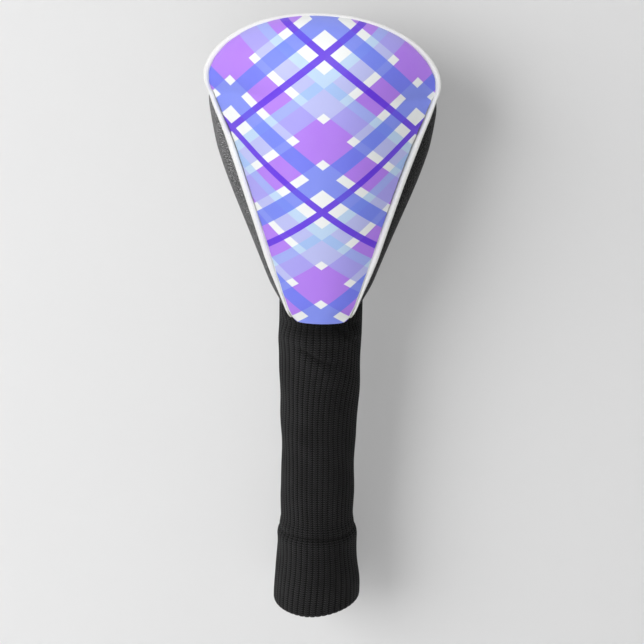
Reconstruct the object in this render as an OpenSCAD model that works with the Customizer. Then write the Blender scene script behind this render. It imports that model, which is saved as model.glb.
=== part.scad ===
// Padded driver head cover with a ribbed knit sock.
// +Z runs up the club's shaft, from the knit sock to the toe of the pocket. -Y is the
// printed crown side, +Y the plain sole side. The origin is the centre of the neck ring,
// where the club's hosel leaves the pocket. All sizes are in millimetres.

/* [Pocket] */
// Width across the crown seam at its widest
pocket_w = 126; // [116:1:138]
// Height of the toe seam above the neck ring
pocket_h = 164; // [156:1:180]
// Height of the widest place above the neck ring
wide_z = 126; // [118:1:134]
// Depth of the crown's dome in front of the shaft
crown_depth = 42; // [35:1:49]
// Depth of the sole's dome behind the shaft
sole_depth = 45; // [39:1:52]
// Width across the sole seam at its widest
sole_w = 117; // [108:1:128]
// Depth of the gusset at the toe, from crown seam to sole seam
toe_gusset = 30; // [24:1:36]
// How far the gusset's sides stand out beyond the seams
gusset_bulge = 10.5; // [5:0.5:12]
// Length of the tab where the crown panel reaches down over the sock
tab_l = 10; // [4:1:12]
// Height of the pocket's lower edge at the back, above the neck ring
back_rise = 5; // [0:0.5:6]

/* [Walls] */
// Thickness of the outer shell fabric
shell_t = 1.2; // [0.8:0.1:1.6]
// Thickness of the foam padding
padding_t = 4; // [2:0.5:6]
// Thickness of the velour lining
lining_t = 1.4; // [0.8:0.2:2]

/* [Piping] */
// Diameter of the covered piping bead
bead_d = 4.2; // [3.4:0.2:5]
// Diameter of the filler cord inside the bead
cord_d = 2.6; // [1.8:0.2:3]
// Thickness of the two plies of piping tape held in the seam
tape_t = 0.9; // [0.7:0.1:1.2]
// Depth of the piping tape inside the seam
tape_l = 5; // [3:0.5:6]

/* [Knit sock] */
// Length of the sock below the neck ring
sock_l = 203; // [168:5:243]
// Outer diameter at the mouth
mouth_d = 55; // [52:1:60]
// Outer diameter at the top of the hem
hem_top_d = 50.5; // [49:0.5:52]
// Outer diameter at the waist above the hem
waist_d = 44.6; // [43.4:0.4:47]
// Outer diameter under the neck seam
neck_d = 50.2; // [48.2:0.4:53]
// Thickness of one ply of rib knit
knit_t = 2.2; // [1.8:0.1:2.4]
// Length of the hem that is folded up inside
hem_l = 47; // [31:2:61]
// Length of the straight stretch of the waist
waist_l = 31; // [11:2:51]
// Length of the shoulder between hem and waist
shoulder_l = 13; // [8:1:20]

/* [Neck] */
// Width of the neck elastic
elastic_w = 16; // [12:1:18]
// Thickness of the neck elastic
elastic_t = 2; // [1.4:0.2:2.2]
// Thickness of the folded binding tape over the neck seam
binding_t = 1.8; // [1.2:0.2:2]

/* [Hidden] */

$fn = 96;
ply_gap = 0.1;      // clearance between two plies that lie on each other
sock_gap = 0.5;     // clearance between the pocket's lower edge and the sock in it
fold_gap = 0.3;     // clearance between the two plies at the top of the hem
rows = 14;          // rows of facets from the neck to the toe
cols = 16;          // facets across a panel
strips = 6;         // facets across the gusset
lined_from = 1;     // padding and lining start at this row, above the sock's top edge

// ---- depth of each ply, measured inwards from the outer surface
padding_at = shell_t + ply_gap;
lining_at = padding_at + padding_t + ply_gap;
wall_t = lining_at + lining_t;

// ---- neck
neck_r = neck_d/2 + sock_gap + shell_t;      // outside of the pocket's lower edge
sock_top_z = elastic_w/2;                    // the sock and the elastic end together
elastic_r = neck_d/2 - knit_t - ply_gap;     // outside of the elastic
binding_r = elastic_r - elastic_t - ply_gap; // outside of the binding

// ---- the four lines that the pocket is built on, each a cubic curve from neck to toe
crown_turn = -52;                            // where each seam leaves the neck, from +X
sole_turn = 38;
seam_y = -4;                                 // the crown seam where the pocket is widest
function on_neck(a, z) = [neck_r*cos(a), neck_r*sin(a), z];
crown_side = [on_neck(crown_turn, -tab_l), on_neck(crown_turn, 26) + [11.5, -6, 0],
              [pocket_w/2 - 5, seam_y - 3, wide_z - 22], [pocket_w/2, seam_y, wide_z]];
crown_mid = [[0, -neck_r, -tab_l], [0, -neck_r - 4, 30],
             [0, -(8*crown_depth - 4*neck_r - 12)/3, pocket_h + 6], [0, 0, pocket_h]];
sole_side = [on_neck(sole_turn, back_rise), on_neck(sole_turn, 30) + [7, 1, 0],
             [sole_w/2 - 2, toe_gusset - 5, wide_z - 22], [sole_w/2, toe_gusset - 4, wide_z - 4]];
sole_mid = [[0, neck_r, back_rise], [0, neck_r + 7, 36],
            [0, (8*sole_depth - 4*neck_r - 21 - toe_gusset)/3, pocket_h - 16],
            [0, toe_gusset, pocket_h - 6]];

function cubic(p, t) = pow(1-t, 3)*p[0] + 3*t*pow(1-t, 2)*p[1] + 3*t*t*(1-t)*p[2] + t*t*t*p[3];
function unit(v) = v/norm(v);
function smooth(x) = let(c = min(1, max(0, x))) c*c*(3 - 2*c);

// Share of the way from neck to toe at each row; the first row is the part over the sock
over_sock = 0.18;
function row_t(i) = i == 0 ? 0 : over_sock + (1 - over_sock)*(i - 1)/(rows - 1);

// A point on a domed panel: a row's arc rises from the side line to the middle line. Its
// half angle follows the neck ring at the neck, h0, and reaches a quarter turn at the toe.
function domed(side, mid, h0, a, t) =
    let(h = h0 + (90 - h0)*t - 15*sin(180*t), e = 1/(1 + 0.06*t), ang = a*h,
        across = sign(a)*pow(abs(sin(ang))/sin(h), e),
        up = pow(max(0, cos(ang) - cos(h))/(1 - cos(h)), e),
        s = cubic(side, t), m = cubic(mid, t))
    [s.x*across, s.y + (m.y - s.y)*up, s.z + (m.z - s.z)*up];

function crown_at(a, t) = domed(crown_side, crown_mid, 90 + crown_turn, a, t);
function sole_at(a, t) = domed(sole_side, sole_mid, 90 - sole_turn, a, t);

// Direction from the surface into the wall, the same for every panel that meets at a point
function inward(p) =
    let(k = 0.62*smooth(p.z/60), core_z = wide_z - 36)
    unit([k*p.x, 5*smooth(p.z/60), p.z < core_z ? p.z : core_z + 0.6*(p.z - core_z)] - p);

// ---- stations along a seam: up the left side, over the toe, down the right side
stations = 2*rows + cols;
function seam_a(i) = i <= rows ? -1 : i >= rows + cols ? 1 : 2*(i - rows)/cols - 1;
function seam_t(i) = i <= rows ? row_t(i) : i >= rows + cols ? row_t(stations - i) : 1;
function crown_seam(i) = crown_at(seam_a(i), seam_t(i));
function sole_seam(i) = sole_at(seam_a(i), seam_t(i));
neck_bulge = neck_r*(1 - cos((sole_turn - crown_turn)/2));
toe_bulge = 2;
function bulge_at(i) = let(t = seam_t(i))
    neck_bulge*(1 - t) + toe_bulge*t + (gusset_bulge - (neck_bulge + toe_bulge)/2)*sin(180*t);

// A point on the gusset, v = 0 at the crown seam and 1 at the sole seam. The tape of the
// piping takes the first stretch, and a ply's clearance is left at the sole seam.
function off_wall(v, p) = let(n = inward(p)) v - n*(v*n);
function gusset_raw(i, v) =
    let(c = crown_seam(i), s = sole_seam(i), out = -unit(inward(c) + inward(s)))
    c + (s - c)*v + out*bulge_at(i)*4*v*(1 - v);
function tape_share(i) =
    let(c = crown_seam(i)) (tape_t + 2*ply_gap)/norm(off_wall(sole_seam(i) - c, c));
function gusset_at(i, j) =
    let(s = sole_seam(i), v0 = tape_share(i), v1 = 1 - ply_gap/norm(off_wall(s - crown_seam(i), s)))
    gusset_raw(i, v0 + (v1 - v0)*j/strips);

// ---- a closed ply between two depths below a grid of surface points
module ply(grid, from, to) {
    n = len(grid);
    m = len(grid[0]);
    outer = [for (r = grid, p = r) p + inward(p)*from];
    inner = [for (r = grid, p = r) p + inward(p)*to];
    size = n*m;
    function tri(a, b, c, d) = [[a, b, c], [a, c, d]];
    faces = [
        for (i = [0:n-2], j = [0:m-2], f = tri(i*m+j, (i+1)*m+j, (i+1)*m+j+1, i*m+j+1)) f,
        for (i = [0:n-2], j = [0:m-2], f = tri(i*m+j, i*m+j+1, (i+1)*m+j+1, (i+1)*m+j))
            [for (k = f) k + size],
        for (i = [0:n-2], f = tri(i*m, i*m+size, (i+1)*m+size, (i+1)*m)) f,
        for (i = [0:n-2], f = tri((i+1)*m+m-1, (i+1)*m+m-1+size, i*m+m-1+size, i*m+m-1)) f,
        for (j = [0:m-2], f = tri(j+1, j+1+size, j+size, j)) f,
        for (j = [0:m-2], f = tri((n-1)*m+j, (n-1)*m+j+size, (n-1)*m+j+1+size, (n-1)*m+j+1)) f
    ];
    polyhedron(concat(outer, inner), faces, convexity = 6);
}

crown_grid = [for (i = [0:rows]) [for (j = [0:cols]) crown_at(2*j/cols - 1, row_t(i))]];
sole_grid = [for (i = [0:rows]) [for (j = [cols:-1:0]) sole_at(2*j/cols - 1, row_t(i))]];
function lined(grid) = [for (i = [lined_from:rows]) grid[i]];
function gusset_grid(first, last) =
    [for (j = [0:strips]) [for (i = [first:last]) gusset_at(i, j)]];

module crown_panel() { color("mediumpurple") ply(crown_grid, 0, shell_t); }
module crown_padding() { color("lightyellow") ply(lined(crown_grid), padding_at, padding_at + padding_t); }
module crown_lining() { color("dimgray") ply(lined(crown_grid), lining_at, wall_t); }

module sole_panel() { color("#2a2a2c") ply(sole_grid, 0, shell_t); }
module sole_padding() { color("lightyellow") ply(lined(sole_grid), padding_at, padding_at + padding_t); }
module sole_lining() { color("dimgray") ply(lined(sole_grid), lining_at, wall_t); }

module side_gusset() { color("#333335") ply(gusset_grid(0, stations), 0, shell_t); }
module gusset_padding() {
    color("lightyellow")
        ply(gusset_grid(lined_from, stations - lined_from), padding_at, padding_at + padding_t);
}
module gusset_lining() {
    color("dimgray") ply(gusset_grid(lined_from, stations - lined_from), lining_at, wall_t);
}

// ---- piping: a strip folded round a cord, its two plies held between crown and gusset
// A section is drawn in [across, in] coordinates: across from crown to gusset, in into the wall.
// Over the sock the tape is trimmed to the shell's thickness.
function tape_depth(i) = shell_t + (tape_l - shell_t)*smooth(seam_t(i)/over_sock);
slit = 0.08;                                  // between the two plies of tape
cover_t = (bead_d - cord_d)/2 - ply_gap/2;    // thickness of the cover round the cord
bead_in = -sqrt(pow(bead_d/2, 2) - pow(tape_t/2 + ply_gap, 2)) - ply_gap;   // its centre, out of the seam
function arc(r, a0, a1, n) = [for (k = [0:n]) let(a = a0 + (a1 - a0)*k/n) [r*sin(a), bead_in + r*cos(a)]];
root = asin(tape_t/bead_d);                   // where the plies leave the bead, outside
core = asin(slit/(bead_d - 2*cover_t));       // and inside
function cover_section(depth) = concat(
    [[-tape_t/2, depth]],
    arc(bead_d/2, -root, -360 + root, 9),
    [[tape_t/2, depth], [slit/2, depth]],
    arc(bead_d/2 - cover_t, core, 360 - core, 8),
    [[-slit/2, depth]]);
cord_section = [for (k = [0:7]) [cord_d/2*sin(-45*k), bead_in + cord_d/2*cos(-45*k)]];

module swept(sections) {
    n = len(sections[0]);
    points = [for (i = [0:stations])
        let(c = crown_seam(i), g = gusset_raw(i, tape_share(i)),
            mid = (c + g)/2, in = inward(mid), across = unit(off_wall(g - c, mid)))
        for (q = sections[i]) mid + across*q[0] + in*q[1]];
    faces = concat(
        [[for (k = [0:n-1]) k]],
        [[for (k = [n-1:-1:0]) stations*n + k]],
        [for (i = [0:stations-1], k = [0:n-1], f = [[i*n+k, (i+1)*n+k, (i+1)*n+(k+1)%n],
                                                  [i*n+k, (i+1)*n+(k+1)%n, i*n+(k+1)%n]]) f]);
    polyhedron(points, faces, convexity = 8);
}
module piping_cover() {
    color("whitesmoke") swept([for (i = [0:stations]) cover_section(tape_depth(i))]);
}
module piping_cord() { color("ivory") swept([for (i = [0:stations]) cord_section]); }

// ---- knit sock: a tube with its hem folded up inside, revolved about the shaft
mouth_z = -sock_l;
hem_z = mouth_z + hem_l;
waist_z = hem_z + shoulder_l;
flare_z = waist_z + waist_l;
collar_z = -24;                               // the sock is straight from here to its top edge
bore_r = waist_d/2 - knit_t;                  // inside of the waist and of the folded ply
turn_r = (mouth_d/2 - bore_r)/2;              // outside of the fold at the mouth
turn_z = mouth_z + turn_r;
function ease(r0, z0, r1, z1, n) = [for (k = [0:n]) let(u = k/n) [r0 + (r1 - r0)*smooth(u), z0 + (z1 - z0)*u]];
function shifted(points, dr) = [for (p = points) [p[0] + dr, p[1]]];
function reversed(points) = [for (k = [len(points)-1:-1:0]) points[k]];
sock_line = concat(
    ease(mouth_d/2, turn_z, hem_top_d/2, hem_z, 6),
    ease(hem_top_d/2, hem_z, waist_d/2, waist_z, 6),
    [[waist_d/2, flare_z]],
    ease(waist_d/2, flare_z, neck_d/2, collar_z, 8),
    [[neck_d/2, sock_top_z]]);
function distinct(points) =
    [for (k = [0:len(points)-1]) if (k == 0 || norm(points[k] - points[k-1]) > 0.001) points[k]];
function turn(r, a0, a1, n) =
    [for (k = [0:n]) let(a = a0 + (a1 - a0)*k/n) [mouth_d/2 - turn_r + r*cos(a), turn_z + r*sin(a)]];
module knit_sock() {
    color("#1c1c1e") rotate_extrude() polygon(distinct(concat(
        sock_line,
        reversed(shifted(sock_line, -knit_t)),
        turn(turn_r - knit_t, 0, -180, 6),
        [[bore_r + knit_t, hem_z - fold_gap], [bore_r, hem_z - fold_gap]],
        turn(turn_r, -180, 0, 10))));
}

// Overlocking thread that finishes the raw edge of the folded ply
thread_d = 0.8;
module hem_thread() {
    color("#1c1c1e") rotate_extrude()
        translate([bore_r + knit_t/2, hem_z - fold_gap + thread_d/2 + ply_gap]) circle(d = thread_d, $fn = 16);
}

module ring(r, t, z0, z1) {
    translate([0, 0, z0]) difference() {
        cylinder(r = r, h = z1 - z0);
        translate([0, 0, -1]) cylinder(r = r - t, h = z1 - z0 + 2);
    }
}
module neck_elastic() { color("white") ring(elastic_r, elastic_t, -elastic_w/2, elastic_w/2); }

// Tape folded over the top of the seam: a long inner leg and a web over sock and elastic
module neck_binding() {
    color("#202022") {
        ring(binding_r, binding_t, -elastic_w/2 - 2, sock_top_z + ply_gap);
        ring(neck_d/2, neck_d/2 - binding_r + binding_t, sock_top_z + ply_gap, sock_top_z + ply_gap + binding_t);
    }
}

crown_panel();
crown_padding();
crown_lining();
side_gusset();
gusset_padding();
gusset_lining();
sole_panel();
sole_padding();
sole_lining();
piping_cover();
piping_cord();
knit_sock();
hem_thread();
neck_elastic();
neck_binding();
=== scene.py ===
import math

import bmesh
import bpy
import numpy as np
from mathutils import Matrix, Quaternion, Vector


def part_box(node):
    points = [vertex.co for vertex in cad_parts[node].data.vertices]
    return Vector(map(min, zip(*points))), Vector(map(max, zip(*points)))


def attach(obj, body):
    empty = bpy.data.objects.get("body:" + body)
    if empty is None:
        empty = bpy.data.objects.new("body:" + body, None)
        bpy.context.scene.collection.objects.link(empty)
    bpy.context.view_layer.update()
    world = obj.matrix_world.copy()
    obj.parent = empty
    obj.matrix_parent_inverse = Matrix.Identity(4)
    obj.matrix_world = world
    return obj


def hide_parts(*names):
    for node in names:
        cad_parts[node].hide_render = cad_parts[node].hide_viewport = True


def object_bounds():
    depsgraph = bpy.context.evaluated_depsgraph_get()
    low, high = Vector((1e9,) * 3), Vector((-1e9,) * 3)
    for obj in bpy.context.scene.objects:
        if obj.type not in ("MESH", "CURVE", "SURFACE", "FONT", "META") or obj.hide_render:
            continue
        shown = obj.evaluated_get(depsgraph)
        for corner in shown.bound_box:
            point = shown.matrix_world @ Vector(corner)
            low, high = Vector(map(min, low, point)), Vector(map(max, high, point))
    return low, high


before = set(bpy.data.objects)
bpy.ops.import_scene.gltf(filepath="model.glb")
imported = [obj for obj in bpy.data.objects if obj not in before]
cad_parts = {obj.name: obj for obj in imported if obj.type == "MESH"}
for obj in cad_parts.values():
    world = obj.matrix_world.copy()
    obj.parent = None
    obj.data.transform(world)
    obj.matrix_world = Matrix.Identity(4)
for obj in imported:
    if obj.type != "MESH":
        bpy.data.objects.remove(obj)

bl_info = {
    "name": "Driver Head Cover",
    "version": (1, 0, 0),
    "blender": (4, 5, 0),
    "location": "View3D > Sidebar > Head Cover",
    "description": "Sews a padded driver head cover with a long rib-knit sock over its CAD frame",
    "category": "Object",
}

for name in ("Cube", "Light", "Camera"):
    if name in bpy.data.objects:
        bpy.data.objects.remove(bpy.data.objects[name])
CAD_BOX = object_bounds()

MM = 0.001
BODY = "root"

# ------------------------ sizes, in millimetres
# The pocket follows the lines its solids were drawn on, filled out by the head inside it.


def width(node, axis):
    low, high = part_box(node)
    return (high[axis] - low[axis]) / MM


POCKET_W = width("crown_panel", 0)
POCKET_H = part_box("crown_panel")[1][2] / MM
SOLE_W = width("sole_panel", 0)
MOUTH_D = width("knit_sock", 0)
SOCK_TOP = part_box("knit_sock")[1][2] / MM
MOUTH_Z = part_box("knit_sock")[0][2] / MM
WIDE_Z, CROWN_DEPTH, SOLE_DEPTH, TOE_GUSSET = 126.0, 42.0, 45.0, 30.0
GUSSET_BULGE, TAB_L, BACK_RISE, SEAM_Y = 13.2, 10.0, 5.0, -4.0
SHELL_T, WADDING_T, LINING_T, PLY_GAP = 1.2, 4.0, 1.4, 0.1
NECK_R, NECK_D, WAIST_D, HEM_TOP_D, KNIT_T = 26.8, 50.2, 44.6, 50.5, 2.2
TAPE_T, TAPE_L = 0.9, 5.0
HEM_Z, WAIST_Z, FLARE_Z, COLLAR_Z = -156.0, -143.0, -112.0, -24.0
BORE_R = WAIST_D / 2 - KNIT_T
RAW_EDGE = HEM_Z - 0.3
# half the folded hem's thickness at the mouth, and the middle of its fold
FOLD = (MOUTH_D / 2 - BORE_R) / 2
FOLD_R, FOLD_Z = MOUTH_D / 2 - FOLD, MOUTH_Z + FOLD
ELASTIC_T, BINDING_T = 2.0, 1.8
# share of the pocket's length that lies over the sock, without foam and lining
OVER_SOCK = 0.18
# width of the gusset that is used up before the sole seam, as a share
GUSSET_END = 0.994
CROWN_TURN, SOLE_TURN = math.radians(-52), math.radians(38)


def on_neck(turn, z):
    return np.array([NECK_R * math.cos(turn), NECK_R * math.sin(turn), z])


# side seam and middle line of each panel, as four control points from the neck to the toe
CROWN_SIDE = np.array([on_neck(CROWN_TURN, -TAB_L), on_neck(CROWN_TURN, 26) + [12.6, -5.5, 0],
                       [POCKET_W / 2 - 11.4, SEAM_Y - 3, WIDE_Z - 18.2],
                       [POCKET_W / 2 + 3.8, SEAM_Y, WIDE_Z - 4.6]])
CROWN_MID = np.array([[0, -NECK_R, -TAB_L], [0, -NECK_R - 4, 30],
                      [0, -(8 * CROWN_DEPTH - 4 * NECK_R - 12) / 3, POCKET_H + 6],
                      [0, 0, POCKET_H - 0.8]])
SOLE_SIDE = np.array([on_neck(SOLE_TURN, BACK_RISE), on_neck(SOLE_TURN, 30) + [7, 1, 0],
                      [SOLE_W / 2 - 2, TOE_GUSSET - 5, WIDE_Z - 22],
                      [SOLE_W / 2, TOE_GUSSET - 4, WIDE_Z - 4]])
SOLE_MID = np.array([[0, NECK_R, BACK_RISE], [0, NECK_R + 7, 36],
                     [0, (8 * SOLE_DEPTH - 4 * NECK_R - 21 - TOE_GUSSET) / 3, POCKET_H - 16],
                     [0, TOE_GUSSET, POCKET_H - 6]])


# how the stuffed pocket sits: leaning, hollow at its left, sagging at its right
LEAN, HOLLOW, SAG, HALF_W = 1.25, 1.2, 1.85, 63.0
SHOULDER_Z, SHOULDER_REACH, SHOULDER_TUCK = WIDE_Z - 4.6, 15.0, 0.045
HOLLOW_Z, HOLLOW_REACH = 99.0, 24.0
# swell of the gusset over the toe and at the toe's corners, and its rise at the neck
TOE_SWELL, CORNER_SWELL, NECK_RISE, NECK_REACH = 2.0, 3.6, 7.5, 0.16


# ------------------------ the lines of the pocket
def ridge(distance, spread, power=2):
    """A bell-shaped ridge, 1 at its crest, with a flatter top for a higher power."""
    return np.exp(-(distance / spread) ** power)


def smooth(x):
    c = np.clip(x, 0, 1)
    return c * c * (3 - 2 * c)


def cubic(line, t):
    t = np.asarray(t)[..., None]
    return ((1 - t) ** 3 * line[0] + 3 * t * (1 - t) ** 2 * line[1]
            + 3 * t * t * (1 - t) * line[2] + t ** 3 * line[3])


def unit(v):
    return v / np.maximum(np.linalg.norm(v, axis=-1, keepdims=True), 1e-9)


def domed(side, middle, neck_angle, across, along):
    """A point of a padded panel: across from -1 to 1, along from the neck to the toe."""
    half = np.radians(neck_angle + (90 - neck_angle) * along - 15 * np.sin(np.pi * along))
    power = 1 / (1 + 0.06 * along)
    turn = across * half
    share = np.sign(across) * (np.abs(np.sin(turn)) / np.sin(half)) ** power
    rise = (np.maximum(0, np.cos(turn) - np.cos(half)) / (1 - np.cos(half))) ** power
    s, m = cubic(side, along), cubic(middle, along)
    return np.stack([s[..., 0] * share, s[..., 1] + (m[..., 1] - s[..., 1]) * rise,
                     s[..., 2] + (m[..., 2] - s[..., 2]) * rise], axis=-1)


def settled(p):
    """A point of the drawn pocket, moved to where the stuffed one has it."""
    x, z = p[..., 0], p[..., 2]
    share = smooth((z - 30) / 100)
    shoulder = SHOULDER_TUCK * np.clip(1 - np.abs(z - SHOULDER_Z) / SHOULDER_REACH, 0, 1) ** 2
    hollow = HOLLOW * np.clip(-x / 40, 0, 1) * ridge(z - HOLLOW_Z, HOLLOW_REACH)
    left = LEAN * share + shoulder * x - hollow
    return p - np.stack([left, 0 * share, SAG * share * x / HALF_W], -1)


def crown_at(across, along):
    p = domed(CROWN_SIDE, CROWN_MID, 90 + math.degrees(CROWN_TURN), across, along)
    # the lower corners of the tab are rounded off
    corner = 2.6 * np.clip(1 - along / 0.06, 0, 1) ** 2 * np.abs(across) ** 10
    return settled(p + corner[..., None] * np.array([0, 0, 1.0]))


def sole_at(across, along):
    return settled(domed(SOLE_SIDE, SOLE_MID, 90 - math.degrees(SOLE_TURN), across, along))


def inward(p):
    """Direction from the outside of the pocket into its wall."""
    k = 0.62 * smooth(p[..., 2] / 60)
    core = WIDE_Z - 36
    z = np.where(p[..., 2] < core, p[..., 2], core + 0.6 * (p[..., 2] - core))
    heart = np.stack([k * p[..., 0], 5 * smooth(p[..., 2] / 60), z], axis=-1)
    return unit(heart - p)


def seam_path(side, toe):
    """Across and along for each station of a seam: up the left, over the toe, down the right."""
    up = np.linspace(0, 1, side + 1)[:-1]
    across = np.concatenate([-np.ones(side), np.linspace(-1, 1, toe + 1), np.ones(side)])
    along = np.concatenate([up, np.ones(toe + 1), up[::-1]])
    return across, along


def off_wall(v, p):
    """The part of a direction that runs along the wall at a point."""
    n = inward(p)
    return v - n * (v * n).sum(-1, keepdims=True)


def bulge_at(across, along):
    """How far the gusset swells: round at the neck, full at the sides, flat over the toe."""
    neck = 0.88 * NECK_R * (1 - math.cos((SOLE_TURN - CROWN_TURN) / 2))
    toe = TOE_SWELL + CORNER_SWELL * np.abs(across) ** 5
    return (neck * (1 - along) + toe * along
            + (GUSSET_BULGE - (neck + toe) / 2) * np.sin(np.pi * along ** 1.6))


def gusset_raw(across, along, v):
    """A point of the gusset: v is 0 at the crown seam and 1 at the sole seam."""
    c, s = crown_at(across, along), sole_at(across, along)
    out = -unit(inward(c) + inward(s))
    v = np.asarray(v)[..., None]
    near_neck = np.clip(1 - along / NECK_REACH, 0, 1)[..., None] ** 2
    rise = NECK_RISE * near_neck * np.sin(np.pi * v) ** 1.5
    return (c + (s - c) * v + out * bulge_at(across, along)[..., None] * 4 * v * (1 - v)
            + rise * np.array([0, 0, 1.0]))


def tape_share(across, along):
    """Share of the gusset's width that the piping's tape takes up."""
    c, s = crown_at(across, along), sole_at(across, along)
    return (TAPE_T + 2 * PLY_GAP) / np.linalg.norm(off_wall(s - c, c), axis=-1)


def gusset_grid(across, along, strips):
    """The gusset from the piping's tape to the sole seam."""
    start = tape_share(across, along)
    v = start + (GUSSET_END - start) * np.linspace(0, 1, strips + 1)[:, None]
    return gusset_raw(across, along, v)


# ------------------------ meshes
def lattice(rows, cols, wrap_rows=False, wrap_cols=False):
    """Corners of a grid's quads as rows and columns, counted on past the end where it wraps."""
    i, j = np.meshgrid(np.arange(rows - (not wrap_rows)), np.arange(cols - (not wrap_cols)),
                       indexing="ij")
    i, j = i.ravel(), j.ravel()
    return np.stack([i, i + 1, i + 1, i], 1), np.stack([j, j, j + 1, j + 1], 1)


def make_mesh(name, points, faces, corner_uv=None, marks=None, sharp=50):
    """A mesh with outward faces from points in millimetres, its flat map and its marks."""
    mesh = bpy.data.meshes.new(name)
    faces = faces if isinstance(faces, list) else faces.tolist()
    mesh.from_pydata((np.asarray(points) * MM).tolist(), [], faces)
    if corner_uv is not None:
        layer = mesh.uv_layers.new(name="flat")
        layer.data.foreach_set("uv", np.asarray(corner_uv, np.float32).ravel())
    for mark, values in (marks or {}).items():
        store = mesh.attributes.new(mark, "FLOAT", "POINT")
        store.data.foreach_set("value", np.asarray(values, np.float32).ravel())
    work = bmesh.new()
    work.from_mesh(mesh)
    bmesh.ops.recalc_face_normals(work, faces=work.faces[:])
    work.to_mesh(mesh)
    work.free()
    mesh.polygons.foreach_set("use_smooth", np.ones(len(mesh.polygons), bool))
    mesh.set_sharp_from_angle(angle=math.radians(sharp))
    mesh.update()
    return mesh


def new_object(mesh, material=None):
    """A piece named like its mesh."""
    piece = bpy.data.objects.new(mesh.name, mesh)
    bpy.context.scene.collection.objects.link(piece)
    if material is not None:
        mesh.materials.clear()
        mesh.materials.append(material)
    return piece


def dress(piece, node):
    """The piece rides on the body and stands for its CAD solid, which is hidden."""
    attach(piece, BODY)
    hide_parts(node)


def lengths(grid, axis):
    """Distance run along each line of a grid, from its first point."""
    steps = np.linalg.norm(np.diff(grid, axis=axis), axis=-1)
    start = np.zeros_like(np.take(steps, [0], axis=axis))
    return np.concatenate([start, np.cumsum(steps, axis=axis)], axis=axis)


def edge_gap(grid):
    """Distance of each point of a grid from the nearest edge, over the surface."""
    a, b = lengths(grid, 1), lengths(grid, 0)
    return np.minimum(np.minimum(a, a[:, -1:] - a), np.minimum(b, b[-1:] - b))


def ply_mesh(name, grid, over, under, flat=None, marks=None):
    """A closed ply between two depths under a grid of surface points."""
    n, m = grid.shape[:2]
    into = inward(grid)
    outer = grid + into * np.broadcast_to(over, (n, m))[..., None]
    inner = grid + into * np.broadcast_to(under, (n, m))[..., None]
    points = np.concatenate([outer.reshape(-1, 3), inner.reshape(-1, 3)])
    i, j = lattice(n, m)
    top = i * m + j
    # the points round the rim, in order
    ring = np.concatenate([np.arange(m), np.arange(1, n) * m + m - 1,
                           (n - 1) * m + np.arange(m - 2, -1, -1), np.arange(n - 2, 0, -1) * m])
    after = np.roll(ring, -1)
    rim = np.stack([ring, after, after + n * m, ring + n * m], 1)
    faces = np.concatenate([top, top[:, ::-1] + n * m, rim])
    if flat is None:
        wide = lengths(grid, 1)
        flat = np.stack([wide - wide[:, -1:] / 2, lengths(grid, 0)], -1)
    spread = np.tile(flat.reshape(-1, 2), (2, 1)) * MM
    both = {k: np.tile(v.ravel(), 2) for k, v in (marks or {}).items()}
    mesh = make_mesh(name, points, faces, None, both)
    layer = mesh.uv_layers.new(name="flat")
    corner = np.zeros(len(mesh.loops), np.int32)
    mesh.loops.foreach_get("vertex_index", corner)
    layer.data.foreach_set("uv", spread[corner].astype(np.float32).ravel())
    return mesh


def bend(x, z, radius, start, end, count=5):
    """Points of a rounded turn about x and z, between two angles in degrees."""
    return [(x + radius * math.cos(a), z + radius * math.sin(a))
            for a in np.radians(np.linspace(start, end, count))]


def track(points):
    """Distance run along a line, from its first point."""
    return np.concatenate([[0], np.cumsum(np.linalg.norm(np.diff(points, axis=0), axis=1))])


def revolved(name, profile, turns=160):
    """A closed ring from a closed profile of (radius, height) points."""
    profile = np.asarray(profile, float)
    k = len(profile)
    angle = 2 * np.pi * np.arange(turns) / turns
    points = np.stack([profile[:, None, 0] * np.cos(angle), profile[:, None, 0] * np.sin(angle),
                       np.repeat(profile[:, None, 1], turns, 1)], -1)
    i, j = lattice(k, turns, True, True)
    run = track(np.concatenate([profile, profile[:1]]))
    corner_uv = np.stack([j / turns, run[i] * MM], -1)
    return make_mesh(name, points.reshape(-1, 3), (i % k) * turns + j % turns,
                     corner_uv.reshape(-1, 2))


def swept(name, centres, across, into, sections):
    """A closed bar along stations, from a section of (across, into) points at each one."""
    n, k = len(centres), len(sections[0])
    sections = np.asarray(sections)
    points = (centres[:, None] + across[:, None] * sections[..., :1]
              + into[:, None] * sections[..., 1:])
    i, j = lattice(n, k, False, True)
    around = np.linspace(0, 12, k + 1)
    corner_uv = np.stack([around[j], track(centres)[i]], -1).reshape(-1, 2) * MM
    corner_uv = np.concatenate([corner_uv, np.zeros((2 * k, 2))])
    ends = [list(range(k)), list(range((n - 1) * k, n * k))]
    return make_mesh(name, points.reshape(-1, 3), (i * k + j % k).tolist() + ends, corner_uv,
                     sharp=60)


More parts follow.
